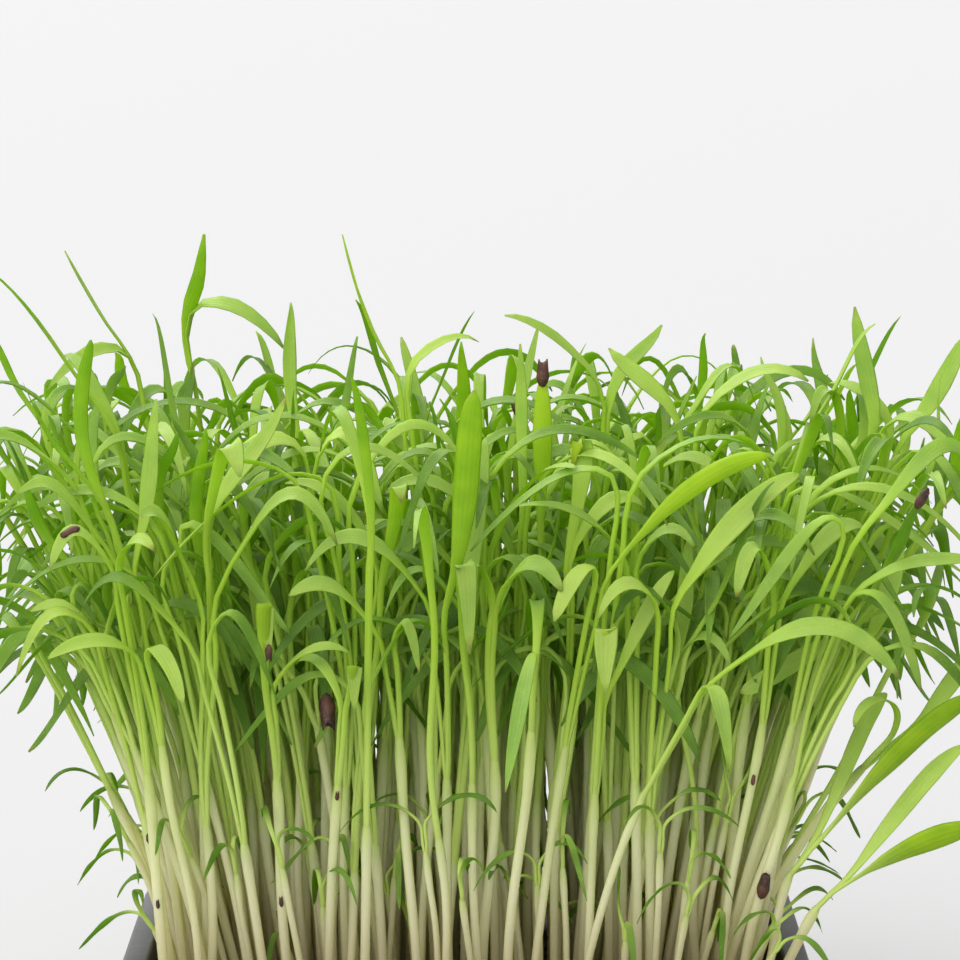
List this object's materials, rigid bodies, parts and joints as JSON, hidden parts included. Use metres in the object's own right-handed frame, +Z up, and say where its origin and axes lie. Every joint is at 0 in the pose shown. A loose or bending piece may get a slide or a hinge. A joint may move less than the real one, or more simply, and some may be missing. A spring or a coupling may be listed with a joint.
{
  "type": "microgreens tray",
  "caption": "Shallow flanged tray filled with soil, with a dense stand of narrow-leaved seedlings that lean outwards and arch over at the top.",
  "frame": {"origin": "middle of the tray's flat underside, which the tray stands on", "axes": "+Z up, +X along the tray's longer side, -Y towards the side of the stand that is seen as its front"},
  "size_m": [0.1228, 0.1088, 0.1052],
  "materials": {
    "tray": "thin formed plastic, satin black",
    "soil": "damp fine growing mix, dark brown and crumbly",
    "seedling": "living stem and leaf, bright green above and white at the foot"
  },
  "bodies": {
    "root": {"tray": "tray", "soil": "soil", "seedlings_01": "seedling", "seedlings_02": "seedling", "seedlings_03": "seedling", "seedlings_04": "seedling", "seedlings_05": "seedling", "seedlings_06": "seedling", "seedlings_07": "seedling", "seedlings_08": "seedling", "seedlings_09": "seedling", "seedlings_10": "seedling", "seedlings_11": "seedling", "seedlings_12": "seedling", "seedlings_13": "seedling", "seedlings_14": "seedling", "seedlings_15": "seedling", "seedlings_16": "seedling", "seedlings_17": "seedling", "seedlings_18": "seedling", "seedlings_19": "seedling", "seedlings_20": "seedling", "seedlings_21": "seedling", "seedlings_22": "seedling", "seedlings_23": "seedling", "seedlings_24": "seedling", "seedlings_25": "seedling", "seedlings_26": "seedling", "seedlings_27": "seedling", "seedlings_28": "seedling", "seedlings_29": "seedling", "seedlings_30": "seedling", "seedlings_31": "seedling", "seedlings_32": "seedling", "seedlings_33": "seedling", "seedlings_34": "seedling", "seedlings_35": "seedling", "seedlings_36": "seedling", "seedlings_37": "seedling", "seedlings_38": "seedling"}
  },
  "joints": []
}
